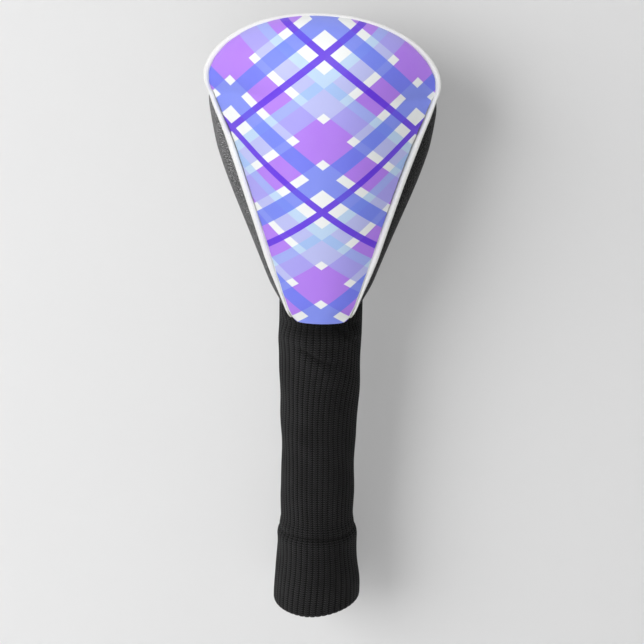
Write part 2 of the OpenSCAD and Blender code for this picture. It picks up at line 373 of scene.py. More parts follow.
# ------------------------ node trees
class Graph:
    """Nodes of one tree. An input takes a number, an output or a node's first output."""

    prefix = "ShaderNode"

    def node(self, kind, *values, **inputs):
        node = self.tree.nodes.new(self.prefix + kind)
        for socket, value in zip(node.inputs, values):
            self.put(socket, value)
        for label, value in inputs.items():
            self.put(node.inputs[label.replace("_", " ")], value)
        return node

    def put(self, socket, value):
        if isinstance(value, bpy.types.Node):
            value = value.outputs[0]
        if isinstance(value, bpy.types.NodeSocket):
            self.tree.links.new(value, socket)
        elif isinstance(value, tuple) and len(value) == 3 and socket.type == "RGBA":
            socket.default_value = (*value, 1)
        else:
            socket.default_value = value

    def math(self, operation, *values, kind="Math"):
        node = self.tree.nodes.new("ShaderNode" + kind)
        node.operation = operation
        for socket, value in zip(node.inputs, values):
            self.put(socket, value)
        return node

    def times(self, one, two):
        return self.math("MULTIPLY", one, two)

    def plus(self, one, two):
        return self.math("ADD", one, two)

    def scaled(self, vector, factor):
        node = self.math("SCALE", vector, kind="VectorMath")
        self.put(node.inputs["Scale"], factor)
        return node


class Growth(Graph):
    """A geometry tree that takes a geometry, the named inputs and a material."""

    prefix = "GeometryNode"

    def __init__(self, name, **inputs):
        self.tree = bpy.data.node_groups.new(name, "GeometryNodeTree")
        face = self.tree.interface
        for label, kind in {"Geometry": "Geometry", **inputs, "Material": "Material"}.items():
            face.new_socket(label.replace("_", " "), in_out="INPUT",
                            socket_type="NodeSocket" + kind)
        face.new_socket("Geometry", in_out="OUTPUT", socket_type="NodeSocketGeometry")
        self.given = self.tree.nodes.new("NodeGroupInput").outputs

    def mark(self, label):
        node = self.node("InputNamedAttribute", label)
        node.data_type = "FLOAT"
        return node.outputs["Attribute"]

    def ended(self, geometry):
        """The tree, ended by realizing the instances and setting the material."""
        paint = self.node("SetMaterial", self.node("RealizeInstances", geometry),
                          Material=self.given["Material"])
        self.put(self.tree.nodes.new("NodeGroupOutput").inputs[0], paint)
        return self.tree


def rib_tree():
    """Raises each wale of the knit into a rounded rib with a narrow groove between ribs."""
    g = Growth("Knit Ribs", Rib_Height="Float")
    arch = g.math("COSINE", g.times(g.mark("side"), math.pi / 2))
    arch = g.math("POWER", g.math("MAXIMUM", arch, 0.0001), 0.45)
    lift = g.times(g.math("SUBTRACT", arch, 0.7), g.given["Rib Height"])
    offset = g.scaled(g.node("InputNormal"), g.times(lift, g.mark("open")))
    return g.ended(g.node("SetPosition", g.given["Geometry"], Offset=offset))


def strand_tree():
    """Runs a round strand along each line of the mesh."""
    g = Growth("Strand", Diameter="Float", Sides="Int")
    ring = g.node("CurvePrimitiveCircle", g.given["Sides"],
                  Radius=g.times(g.given["Diameter"], 0.5))
    bar = g.node("CurveToMesh", g.node("MeshToCurve", g.given["Geometry"]), ring,
                 Fill_Caps=True)
    return g.ended(g.node("SetShadeSmooth", bar))


def grown(piece, tree, **values):
    """Runs a node tree on a piece and keeps its plain mesh."""
    modifier = piece.modifiers.new(tree.name, "NODES")
    modifier.node_group = tree
    sockets = {s.name: s.identifier for s in tree.interface.items_tree
               if s.item_type == "SOCKET" and s.in_out == "INPUT"}
    for label, value in values.items():
        modifier[sockets[label.replace("_", " ")]] = value
    ready = piece.evaluated_get(bpy.context.evaluated_depsgraph_get())
    mesh = bpy.data.meshes.new_from_object(ready)
    piece.modifiers.clear()
    piece.data = mesh
    return piece


def line_object(name, points, closed=False):
    mesh = bpy.data.meshes.new(name)
    n = len(points)
    edges = [(i, i + 1) for i in range(n - 1)] + ([(n - 1, 0)] if closed else [])
    mesh.from_pydata((np.asarray(points) * MM).tolist(), edges, [])
    return new_object(mesh)


# ------------------------ finishes
class Finish(Graph):
    """Nodes of one material, with its Principled shader."""

    def __init__(self, name, roughness=0.6, sheen=0.0, specular=0.5):
        self.material = bpy.data.materials.new(name)
        self.material.use_nodes = True
        self.tree = self.material.node_tree
        self.shader = self.tree.nodes["Principled BSDF"]
        self.rough(roughness)
        self.shader.inputs["Specular IOR Level"].default_value = specular
        self.shader.inputs["Sheen Weight"].default_value = sheen

    def place(self, size=1.0):
        """Object coordinates in millimetres, divided by size."""
        return self.scaled(self.node("TexCoord").outputs["Object"], 1 / (MM * size))

    def flat(self):
        """The cloth's own map, in millimetres, as two numbers."""
        cloth = self.node("UVMap")
        cloth.uv_map = "flat"
        u, v, _ = self.node("SeparateXYZ", cloth).outputs
        return self.times(u, 1 / MM), self.times(v, 1 / MM)

    def mark(self, label):
        node = self.node("Attribute")
        node.attribute_name = label
        return node.outputs["Fac"]

    def noise(self, size, detail=3.0):
        texture = self.node("TexNoise", Vector=self.place(size), Scale=1.0, Detail=detail,
                            Roughness=0.55)
        return texture.outputs["Fac"]

    def cells(self, size, **inputs):
        """A cell pattern, with its distance from the middle of each cell."""
        return self.node("TexVoronoi", Vector=self.place(size), Scale=1.0, **inputs)

    def ramp(self, value, low, high, start=0.0, end=1.0, soft=False):
        node = self.node("MapRange", value, low, high, start, end)
        node.interpolation_type = "SMOOTHSTEP" if soft else "LINEAR"
        return node

    def mix(self, share, one, two):
        node = self.node("Mix")
        node.data_type = "RGBA"
        for socket, value in ((0, share), (6, one), (7, two)):
            self.put(node.inputs[socket], value)
        return node.outputs[2]

    def shades(self, share, colour, dark, light=1.0):
        """The colour from a dark shade of it to a light one."""
        return self.mix(share, tuple(c * dark for c in colour), tuple(c * light for c in colour))

    def wave(self, run, pitch):
        return self.math("SINE", self.times(run, 2 * math.pi / pitch))

    def colour(self, value):
        self.put(self.shader.inputs["Base Color"], value)

    def rough(self, value):
        self.put(self.shader.inputs["Roughness"], value)

    def bump(self, height, distance, strength=1.0, under=None):
        """Bump of so many millimetres, over another one where it is given."""
        node = self.node("Bump", Height=height, Strength=strength, Distance=distance * MM)
        if under is not None:
            self.put(node.inputs["Normal"], under)
        self.put(self.shader.inputs["Normal"], node)
        return node


def band(f, run, low, high, soft=0.14):
    """1 where run lies between low and high, with a soft printed edge."""
    return f.times(f.ramp(run, low - soft, low + soft, soft=True),
                   f.ramp(run, high - soft, high + soft, 1.0, 0.0, soft=True))


def printed_plaid(colours):
    """Smooth polyester printed with a bias plaid: wide bands both ways under a thin overcheck."""
    f = Finish("printed plaid", roughness=0.5, specular=0.28)
    u, v = f.flat()
    # one repeat of the stripes, in millimetres, and how strongly each colour covers the ground
    repeat, slope = 68.4, math.radians(37.3)
    bands = {"blue": (8.6, 17.6), "orchid": (22.4, 38.0), "periwinkle": (42.6, 53.0),
             "pale_blue": (53.0, 58.6), "violet": (64.6, 68.4)}
    cover = {"orchid": 1.0, "periwinkle": 0.76, "pale_blue": 0.62, "blue": 0.88, "violet": 0.96}
    # ten repeats keep the run above zero all over the panel
    shift = 10 * repeat + colours.plaid_shift / MM
    masks = {name: 0.0 for name in bands}
    for hand in (1, -1):
        run = f.plus(f.times(u, hand * math.sin(slope)), f.times(v, math.cos(slope)))
        turns = f.math("DIVIDE", f.plus(run, shift), repeat)
        run = f.times(f.math("FRACT", turns), repeat)
        for name, (low, high) in bands.items():
            masks[name] = f.math("MAXIMUM", masks[name], band(f, run, low, high))
    ground = shade = tuple(colours.ground)
    for name, share in cover.items():
        shade = f.mix(f.times(masks[name], share), shade, tuple(getattr(colours, name)))
    # the blue bands show through the overcheck, and the edge of the panel is plain
    crossing = f.times(masks["blue"], masks["violet"])
    shade = f.mix(f.times(crossing, 0.3), shade, tuple(colours.blue))
    shade = f.mix(f.ramp(f.mark("print"), 0.0, 0.35, soft=True), ground, shade)
    shade = f.mix(f.times(f.noise(7.0), 0.05), shade, (0.62, 0.64, 0.7))
    # painted shade: the print darkens a little close to the seams, where the panel turns down
    # into them
    seam_shade = f.ramp(f.mark("rim"), 0.0, 2.0, 0.05, 0.0, soft=True)
    f.colour(f.mix(seam_shade, shade, (0.30, 0.31, 0.36)))
    f.rough(f.ramp(f.noise(3.0), 0.3, 0.7, 0.42, 0.52))
    yarn = 0.42
    weave = f.times(f.wave(u, yarn), f.wave(v, yarn))
    f.bump(f.noise(14.0, 2.0), 0.5, 0.35, f.bump(weave, 0.03, 0.35))
    return f.material


def grained(name, colour, pebble, depth, roughness, groove, specular=0.5):
    """Coated synthetic with a fine pebbled grain, with painted shade in its grooves."""
    f = Finish(name, specular=specular)
    cells = f.cells(pebble, Randomness=0.9)
    cells.feature = "SMOOTH_F1"
    cells.inputs["Smoothness"].default_value = 0.45
    dome = f.ramp(cells.outputs["Distance"], 0.15, 0.75, 1.0, 0.0, soft=True)
    # painted shade: the colour falls from the top of each pebble into its groove
    f.colour(f.shades(dome, colour, groove))
    f.rough(f.plus(f.ramp(dome, 0, 1, roughness + 0.12, roughness - 0.04),
                   f.ramp(f.noise(22.0), 0.3, 0.7, -0.03, 0.05)))
    f.bump(f.noise(16.0, 2.0), 0.6, 0.3, f.bump(dome, depth, 0.6))
    return f.material


def rib_knit(colour, course):
    """Black acrylic rib knit: rows of small loops on each rib, with painted highlights on the
    loops and painted shade in the pits between them.
    """
    f = Finish("rib knit", roughness=0.8, specular=0.2, sheen=0.04)
    f.shader.inputs["Sheen Roughness"].default_value = 0.55
    side, along = f.mark("side"), f.mark("run")
    beat = f.times(f.math("DIVIDE", along, course), 2 * math.pi)
    # each rib is a column of slanting loops, with a painted highlight on the legs beside the
    # groove
    slant = f.math("SINE", f.plus(beat, f.times(side, math.pi)))
    leg = f.times(f.ramp(side, 0.15, 0.35, soft=True),
                  f.ramp(side, 0.72, 0.88, 1.0, 0.0, soft=True))
    # painted shade: between loops the legs are dark, and the groove stays dark all along
    height = f.plus(f.times(f.math("SUBTRACT", 1.0, leg),
                            f.ramp(side, 0.6, 0.9, 0.5, 0.12, soft=True)),
                    f.times(leg, f.ramp(slant, -0.35, 0.45, 0.04, 1.0, soft=True)))
    fuzz = f.noise(0.35, 2.0)
    shade = f.times(height, f.ramp(fuzz, 0.3, 0.7, 0.7, 1.15))
    worn = f.ramp(f.noise(22.0, 2.0), 0.35, 0.7, 0.75, 1.2)
    # painted shade: little light reaches the bottom of a fold, and a painted shadow darkens the
    # knit close under the tab
    shade = f.times(f.times(shade, worn), f.ramp(f.mark("fold"), 0.0, 1.0, 1.0, 0.12))
    f.colour(f.shades(shade, colour, 0.05, 2.6))
    f.bump(fuzz, 0.12, 0.5, f.bump(height, 0.5, 0.8))
    return f.material


def foam_finish(colour):
    """Cream open-cell foam."""
    f = Finish("open-cell foam", roughness=0.95, specular=0.2)
    pits = f.ramp(f.cells(0.9).outputs["Distance"], 0.1, 0.6, soft=True)
    aged = f.ramp(f.noise(12.0), 0.3, 0.7, 0.0, 0.25)
    # painted shade: the foam is darker at the bottom of each cell's pit
    f.colour(f.mix(aged, f.shades(pits, colour, 0.62), (0.62, 0.5, 0.28)))
    f.bump(pits, 0.3, 0.8)
    return f.material


def brushed_lining(colour):
    """Charcoal tricot with a short brushed nap."""
    f = Finish("brushed tricot", roughness=0.9, specular=0.25, sheen=0.5)
    fibre = f.noise(0.28, 4.0)
    wale = f.wave(f.flat()[0], 1.3)
    shade = f.plus(f.ramp(fibre, 0.3, 0.7, 0.0, 0.8), f.times(wale, 0.12))
    f.colour(f.shades(shade, colour, 0.55, 1.35))
    f.bump(fibre, 0.25, 0.7, f.bump(wale, 0.12, 0.4))
    return f.material


def twisted_thread(name, colour, pitch):
    """Cotton or polyester strand with a slanting twist."""
    f = Finish(name, roughness=0.7, specular=0.3, sheen=0.2)
    x, y, z = f.node("SeparateXYZ", f.place(pitch)).outputs
    twist = f.wave(f.plus(z, f.plus(x, y)), 1)
    # painted shade: the colour darkens in the grooves of the twist
    f.colour(f.shades(f.ramp(twist, -1, 1), colour, 0.6))
    f.bump(f.noise(0.3), 0.06, 0.5, f.bump(twist, 0.08, 0.6))
    return f.material


def woven_tape(name, colour, ribs):
    """Narrow woven tape with so many cross ribs in its round."""
    f = Finish(name, roughness=0.75, specular=0.3, sheen=0.15)
    u, v = f.flat()
    height = f.plus(f.times(f.wave(u, 1 / (MM * ribs)), 0.5), f.times(f.wave(v, 1.6), 0.5))
    # painted shade: the colour darkens between the ribs, where the weave lies low
    f.colour(f.shades(f.ramp(height, -0.8, 0.8), colour, 0.6))
    f.bump(f.noise(0.4), 0.08, 0.4, f.bump(height, 0.2, 0.7))
    return f.material


# ------------------------ what a user may change
def length(name, description, default):
    return bpy.props.FloatProperty(name=name, description=description, default=default,
                                   unit="LENGTH", subtype="DISTANCE")


def tint(name, description, default):
    return bpy.props.FloatVectorProperty(name=name, description=description, default=default,
                                         subtype="COLOR")


class CoverSizes(bpy.types.PropertyGroup):
    """Sizes of the soft parts' own detail."""

    bead: length("Piping diameter", "Across the covered cord of the piping", 0.0042)
    margin: length("Print margin", "Plain white edge beside the piping at the neck", 0.0003)
    grain: length("Grain pitch", "Size of one pebble of the black synthetic", 0.0009)
    ribs: bpy.props.IntProperty(
        name="Ribs", description="Ribs round the knit sock", default=44, min=20, max=80)
    rib_height: length("Rib height", "From the groove to the top of a rib", 0.0005)
    course: length("Course pitch", "Height of one row of the knit", 0.00146)
    lean: length("Sock lean", "How far the hem hangs to one side", 0.0002)


class CoverColours(bpy.types.PropertyGroup):
    """Colours of the cover's materials."""

    ground: tint("Ground", "White of the printed crown", (0.80, 0.815, 0.81))
    orchid: tint("Orchid", "Wide bands of the plaid", (0.405, 0.185, 0.79))
    pale_blue: tint("Pale blue", "Sheer bands of the plaid", (0.27, 0.50, 0.82))
    periwinkle: tint("Periwinkle", "Sheer bands beside the pale ones", (0.34, 0.36, 0.79))
    blue: tint("Blue", "Middle bands of the plaid", (0.120, 0.180, 0.79))
    violet: tint("Violet", "Overcheck of the plaid", (0.105, 0.016, 0.68))
    plaid_shift: length("Plaid shift", "Moves the plaid along the crown", 0.0398)
    piping: tint("Piping", "Cover of the piping", (0.75, 0.75, 0.74))
    black: tint("Black synthetic", "Gusset and sole", (0.022, 0.022, 0.023))
    knit: tint("Knit", "Sock yarn", (0.0138, 0.0138, 0.0143))
    wadding: tint("Foam", "Foam under the shell", (0.78, 0.70, 0.50))
    lining: tint("Lining", "Inside of the pocket", (0.06, 0.06, 0.065))
    backdrop: tint("Backdrop", "Floor and wall behind the cover", (0.80, 0.80, 0.80))


def sizes():
    return bpy.context.scene.cover_sizes


def colours():
    return bpy.context.scene.cover_colours


# ------------------------ the pieces
def panel_grid(surface, rows, cols, start=0):
    """Points of the crown or sole, from a share of its length to the toe."""
    return surface(*np.meshgrid(np.linspace(-1, 1, cols + 1), np.linspace(start, 1, rows + 1)))


class COVER_OT_crown(bpy.types.Operator):
    """Sew the printed crown panel with its plain white edge"""

    bl_idname = "cover.crown"
    bl_label = "Printed crown panel"

    def execute(self, context):
        grid = panel_grid(crown_at, 150, 120)
        gap = edge_gap(grid)
        x, z = grid[..., 0], grid[..., 2]
        across, up = lengths(grid, 1), lengths(grid, 0)
        # the panel fills out between its seams and turns down into them, most over the toe
        toe_end = smooth((z - 118) / 34)
        turned = 1 - np.clip(gap / (1.9 + 5.5 * toe_end), 0, 1)
        plump = (1.5 + 1.8 * toe_end) * np.sqrt(1 - turned ** 2) * smooth((z + 10) / 12)
        fill = plump + 0.4 * smooth(gap / 26)
        pucker = 0.16 * np.sin(up * 2 * np.pi / 11 + x / 9) * np.exp(-gap / 5)
        soft = 0.35 * ridge(z + 10, 16) * np.sin(x / 4.1 + 0.7) * smooth(gap / 3)
        # the print ends short of the seams
        margin = sizes().margin / MM * (1 - smooth((z - 10) / 70))
        side = np.minimum(across, across[:, -1:] - across)
        printed = np.minimum(side - 1.0 - margin, up[-1:] - up - 0.9)
        # the flat map spreads where the dome falls away to the seams
        falling = smooth(1 - (SEAM_Y - grid[..., 1]) / 40)
        flat = np.stack([x * (1 + 0.10 * falling), (z - 112) * (1 + 0.05 * falling)], -1)
        crown = new_object(ply_mesh("crown_panel_cloth", grid, -(fill + pucker + soft), SHELL_T,
                                    flat, {"rim": gap, "print": printed}),
                           printed_plaid(colours()))
        dress(crown, "crown_panel")
        return {"FINISHED"}


class COVER_OT_shell(bpy.types.Operator):
    """Sew the pebbled black gusset and sole"""

    bl_idname = "cover.shell"
    bl_label = "Black gusset and sole"

    def execute(self, context):
        black = grained("pebbled black synthetic", colours().black, sizes().grain / MM, 0.6,
                        0.34, groove=0.08, specular=0.3)
        across, along = seam_path(110, 110)
        grid = gusset_grid(across, along, 28)
        gap = edge_gap(grid)
        wave = 0.5 * np.sin(lengths(grid, 1) / 13.0) * smooth(gap / 10) * (1 - along ** 4)
        fill = 0.4 * smooth(gap / 12) - 0.8 * ridge(gap, 1.4) + 0.35 * wave
        gusset = new_object(ply_mesh("side_gusset_cloth", grid, -fill, SHELL_T), black)
        dress(gusset, "side_gusset")
        grid = panel_grid(sole_at, 130, 100)
        gap = edge_gap(grid)
        fill = 0.6 * smooth(gap / 22) - 0.8 * ridge(gap, 1.4)
        sole = new_object(ply_mesh("sole_panel_cloth", grid, -fill, SHELL_T), black)
        dress(sole, "sole_panel")
        return {"FINISHED"}


def seam_frames(side, toe):
    """Share of the height, centre, across and into for each station, as in the piping's solid."""
    across, along = seam_path(side, toe)
    c = crown_at(across, along)
    g = gusset_raw(across, along, tape_share(across, along))
    mid = (c + g) / 2
    return along, mid, unit(off_wall(g - c, mid)), inward(mid)


def bead_section(r, wall, centre, depth):
    """Round the bead from one ply of its tape to the other, then back on the inside."""
    half, slit = TAPE_T / 2, 0.04
    hollow = r - wall
    root, core = math.asin(min(0.9, half / r)), math.asin(slit / hollow)
    outer = [(r * math.sin(a), centre + r * math.cos(a))
             for a in np.linspace(-root, -2 * math.pi + root, 21)]
    inner = [(hollow * math.sin(a), centre + hollow * math.cos(a))
             for a in np.linspace(core, 2 * math.pi - core, 15)]
    return [(-half, depth)] + outer + [(half, depth), (slit, depth)] + inner + [(-slit, depth)]


class COVER_OT_piping(bpy.types.Operator):
    """Run the white piping and its cord round the crown"""

    bl_idname = "cover.piping"
    bl_label = "Piping"

    def execute(self, context):
        bead = sizes().bead / MM
        cord_d = 2.6
        along, mid, side, into = seam_frames(150, 150)
        run = track(mid)
        # the bead slims towards its two ends at the neck
        from_end = np.minimum(run, run[-1] - run)
        girth = 0.46 + 0.54 * smooth((from_end - 5) / 36) - 0.16 * smooth(1 - from_end / 6)
        centre = -(math.sqrt((bead / 2) ** 2 - (TAPE_T / 2 + PLY_GAP) ** 2) + PLY_GAP)
        depth = SHELL_T + (TAPE_L - SHELL_T) * smooth(along / OVER_SOCK)
        wall = (bead - cord_d) / 2 - PLY_GAP / 2
        sections = [bead_section(bead / 2 * g, wall * g, centre * g, d)
                    for g, d in zip(girth, depth)]
        white = grained("white piping cover", colours().piping, 0.45, 0.002, 0.45, groove=0.94)
        cover = new_object(swept("piping_cover_cloth", mid, side, into, sections), white)
        dress(cover, "piping_cover")

        # strands laid up as one soft cord
        strands, lay, spread, thick = 3, 9, 0.62, 1.125
        steps = np.linspace(0, run[-1], 700)

        def evenly(values):
            return np.stack([np.interp(steps, run, values[:, k]) for k in range(3)], 1)

        axis = evenly(mid + into * (centre * girth)[:, None])
        aside, inwards = unit(evenly(side)), unit(evenly(into))
        slim = np.interp(steps, run, girth)[:, None]
        tree = strand_tree()
        cotton = twisted_thread("cotton cord", (0.74, 0.72, 0.66), 0.9)
        parts = []
        for k in range(strands):
            turn = (steps * 2 * np.pi / lay + k * 2 * np.pi / strands)[:, None]
            points = axis + spread * slim * (aside * np.cos(turn) + inwards * np.sin(turn))
            parts.append(grown(line_object("strand_%d" % k, points), tree,
                               Diameter=thick * MM, Sides=7, Material=cotton))
        dress(joined("piping_cord_strands", parts), "piping_cord")
        return {"FINISHED"}


def joined(name, parts):
    """One piece from several plain meshes that share a material."""
    work = bmesh.new()
    for part in parts:
        work.from_mesh(part.data)
    mesh = bpy.data.meshes.new(name)
    work.to_mesh(mesh)
    work.free()
    material = parts[0].data.materials[0]
    for part in parts:
        bpy.data.objects.remove(part)
    return new_object(mesh, material)


def wall_grids(rows, cols, strips):
    """Grids of the crown, sole and gusset where foam and lining lie, clear of the sock."""
    across, along = seam_path(rows, cols)
    return {"crown": panel_grid(crown_at, rows, cols, OVER_SOCK),
            "sole": panel_grid(sole_at, rows, cols, OVER_SOCK),
            "gusset": gusset_grid(across, along * (1 - OVER_SOCK) + OVER_SOCK, strips)}


class COVER_OT_padding(bpy.types.Operator):
    """Cut the foam that pads the crown, gusset and sole"""

    bl_idname = "cover.padding"
    bl_label = "Foam padding"

    def execute(self, context):
        foam = foam_finish(colours().wadding)
        start = SHELL_T + PLY_GAP
        for part, grid in wall_grids(60, 60, 14).items():
            edge = 0.9 * ridge(edge_gap(grid), 1.8)
            pad = new_object(ply_mesh(part + "_padding_foam", grid, start + edge * 0.6,
                                      start + WADDING_T - edge), foam)
            dress(pad, part + "_padding")
        return {"FINISHED"}


class COVER_OT_lining(bpy.types.Operator):
    """Line the pocket with brushed tricot"""

    bl_idname = "cover.lining"
    bl_label = "Lining"

    def execute(self, context):
        nap = brushed_lining(colours().lining)
        start = SHELL_T + WADDING_T + 2 * PLY_GAP
        for part, grid in wall_grids(80, 80, 16).items():
            ease = (0.22 * np.sin(grid[..., 2] / 6.5 + grid[..., 0] / 17)
                    * smooth(edge_gap(grid) / 14))
            cloth = new_object(ply_mesh(part + "_lining_cloth", grid, start + 0.15,
                                        start + LINING_T + ease), nap)
            dress(cloth, part + "_lining")
        return {"FINISHED"}


def eased(r0, z0, r1, z1, z):
    return r0 + (r1 - r0) * smooth((z - z0) / (z1 - z0))


def sock_radius(z):
    """Outside radius of the sock at a height."""
    r = np.full_like(z, NECK_D / 2)
    r = np.where(z < COLLAR_Z, eased(WAIST_D / 2, FLARE_Z, NECK_D / 2, COLLAR_Z, z), r)
    r = np.where(z < FLARE_Z, WAIST_D / 2, r)
    r = np.where(z < WAIST_Z, eased(HEM_TOP_D / 2, HEM_Z, WAIST_D / 2, WAIST_Z, z), r)
    return np.where(z < HEM_Z, eased(MOUTH_D / 2, FOLD_Z, HEM_TOP_D / 2, HEM_Z, z), r)


def sock_rows(outside):
    """Radius, height, share of the ribs and share of the slack for each round of the knit."""
    down = np.linspace(SOCK_TOP, FOLD_Z, outside)
    rows = [(r, h, 1.0, 1.0) for r, h in zip(sock_radius(down), down)]
    rows += [(r, h, 1.0, 1.0) for r, h in bend(FOLD_R, FOLD_Z, FOLD, 0, -180, 13)[1:]]
    rows += [(BORE_R, h, 1.0, 0.6) for h in np.linspace(FOLD_Z, RAW_EDGE, 16)[1:]]
    rows += [(BORE_R + KNIT_T, h, 0.2, 0.3) for h in np.linspace(RAW_EDGE, FOLD_Z, 8)]
    rows += [(r, h, 0.1, 0.8) for r, h in bend(FOLD_R, FOLD_Z, FOLD - KNIT_T, -180, 0, 9)[1:]]
    up = np.linspace(FOLD_Z, SOCK_TOP, 28)[1:]
    return np.array(rows + [(r - KNIT_T, h, 0.7, 1.0) for r, h in zip(sock_radius(up), up)])


def sock_lean(h):
    return -sizes().lean / MM * smooth((-h - 25) / 150)


def knit_slack(r, h, angle, outside):
    """How far the knit stands off the plain tube, and how much painted shade it takes in its
    folds and under the tab.
    """
    wave = ((0.32 * np.sin(h / 11.5 + 2 * angle + 0.6) + 0.25 * np.sin(h / 19 - angle)
             + 0.18 * np.sin(h / 5.3 + 3 * angle))
            * smooth(-(h + 14) / 22) * smooth((h - MOUTH_Z) / 25))
    # pressed-in line above the hem, and the soft roll over it
    crease = h - (-149.3 + 1.2 * np.sin(angle) + 0.5 * np.sin(angle * 3 + 1))
    pinch = ((-0.95 * ridge(crease, 1.2) + 0.85 * ridge(crease - 4.0, 2.8)
              + 0.30 * ridge(crease + 4.0, 2.6))
             * outside * (0.35 + 0.65 * smooth(0.3 - np.sin(angle))))
    # slanting tuck under the tab
    x = r * np.cos(angle)
    front = smooth(-np.sin(angle) * 1.6)
    above = h - (-26.3 - 0.46 * (x + 9) - 0.6 * np.sin((x + 4) / 3.6))
    reach = ridge(x + 1.5, 10.5, 4) * front
    lip = np.where(above > 0, ridge(above, 6.0), ridge(above, 2.1))
    tuck = (1.3 * lip - 1.5 * ridge(above + 2.6, 1.9) + 0.4 * ridge(above + 9, 3.5)) * reach
    # fold running down from the right corner of the tab
    slope = h - (-16.0 - 0.95 * (x - 17))
    corner = ridge(x - 17, 7.5, 4) * front
    tuck = tuck + (0.9 * ridge(slope, 3.2) - 0.8 * ridge(slope + 5.5, 2.4)) * corner
    # hollow close under the tab with a roll below it, and a faint crease lower down
    tuck = tuck + (0.9 * ridge(h + 21.5, 4.0) - 1.1 * ridge(h + 13.2, 2.6)) * front
    faint = -0.45 * ridge(h + 52 + 0.35 * (x - 8), 1.8) * ridge(x - 9, 8) * front
    # slack down the left side
    slack = (0.7 * ridge(h + 27, 7) + 1.0 * smooth((-h - 60) / 25) * smooth((h + 148) / 22)
             ) * ridge(np.cos(angle) + 1, 0.35)
    # painted shade for the bottoms of the tuck, the corner fold and the hem crease, and a painted
    # shadow from the tab over the knit close under it
    fold = (0.95 * ridge(above + 1.8, 1.6) * reach + 0.6 * ridge(slope + 5.0, 2.0) * corner
            + 0.75 * smooth((h + 24) / 9) * smooth((x + 24) / 14) * front
            + 0.55 * ridge(crease, 1.3))
    return wave + pinch + (tuck + faint + slack) * (h < 0), np.minimum(fold, 1)


class COVER_OT_sock(bpy.types.Operator):
    """Knit the ribbed sock with its folded hem"""

    bl_idname = "cover.sock"
    bl_label = "Knit sock"

    def execute(self, context):
        ribs = sizes().ribs
        columns, outside = ribs * 8, 182
        rows = sock_rows(outside)
        count = len(rows)
        r, h, open_, loose = (rows[:, k:k + 1] for k in range(4))
        turn = np.arange(columns)[None, :] / columns
        angle = 2 * np.pi * turn + 0 * h
        # the ribs slant towards the right shoulder and sway a little
        slant = 0.17 * smooth((h + 85) / 75) * np.cos(angle + 1.2)
        sway = 0.06 * np.sin(h / 27 + 1.3) + 0.03 * np.sin(h / 12 + 2 * angle)
        angle = angle + slant + sway * smooth(-(h + 12) / 30) * 0.6
        off, fold = knit_slack(r, h, angle, (np.arange(count) < outside)[:, None])
        r = r + loose * off
        # the mouth rises at its right
        tip = 3.4 * smooth((-h - 158) / 40) * np.maximum(0, np.cos(angle + 0.3)) ** 1.4
        points = np.stack([r * np.cos(angle) + sock_lean(h), r * np.sin(angle), h + tip], -1)
        i, j = lattice(count, columns, True, True)
        # 0 on the crest of each rib and 1 in the groove between two
        side = np.abs(2 * np.mod(turn * ribs, 1) - 1)
        marks = {"side": np.tile(side, (count, 1)), "fold": fold,
                 "run": np.repeat(track(rows[:, :2]), columns),
                 "open": np.repeat(open_.ravel(), columns)}
        mesh = make_mesh("knit_sock_cloth", points.reshape(-1, 3),
                         (i % count) * columns + j % columns, None, marks, 80)
        knit = rib_knit(colours().knit, sizes().course / MM)
        sock = grown(new_object(mesh), rib_tree(), Rib_Height=sizes().rib_height, Material=knit)
        dress(sock, "knit_sock")
        return {"FINISHED"}


class COVER_OT_hem_thread(bpy.types.Operator):
    """Overlock the raw edge of the sock's folded ply"""

    bl_idname = "cover.hem_thread"
    bl_label = "Hem overlock thread"

    def execute(self, context):
        loops, steps = 96, 10
        turn = 2 * np.pi * np.arange(loops * steps) / (loops * steps)
        radius = BORE_R + KNIT_T / 2 + 0.75 * np.sin(turn * loops)
        height = RAW_EDGE + 0.5 + 0.24 * np.cos(turn * loops)
        points = np.stack([radius * np.cos(turn) + sock_lean(height), radius * np.sin(turn),
                           height], 1)
        thread = twisted_thread("black overlock thread", (0.025, 0.025, 0.026), 0.5)
        line = grown(line_object("hem_thread_loops", points, closed=True), strand_tree(),
                     Diameter=0.42 * MM, Sides=6, Material=thread)
        dress(line, "hem_thread")
        return {"FINISHED"}


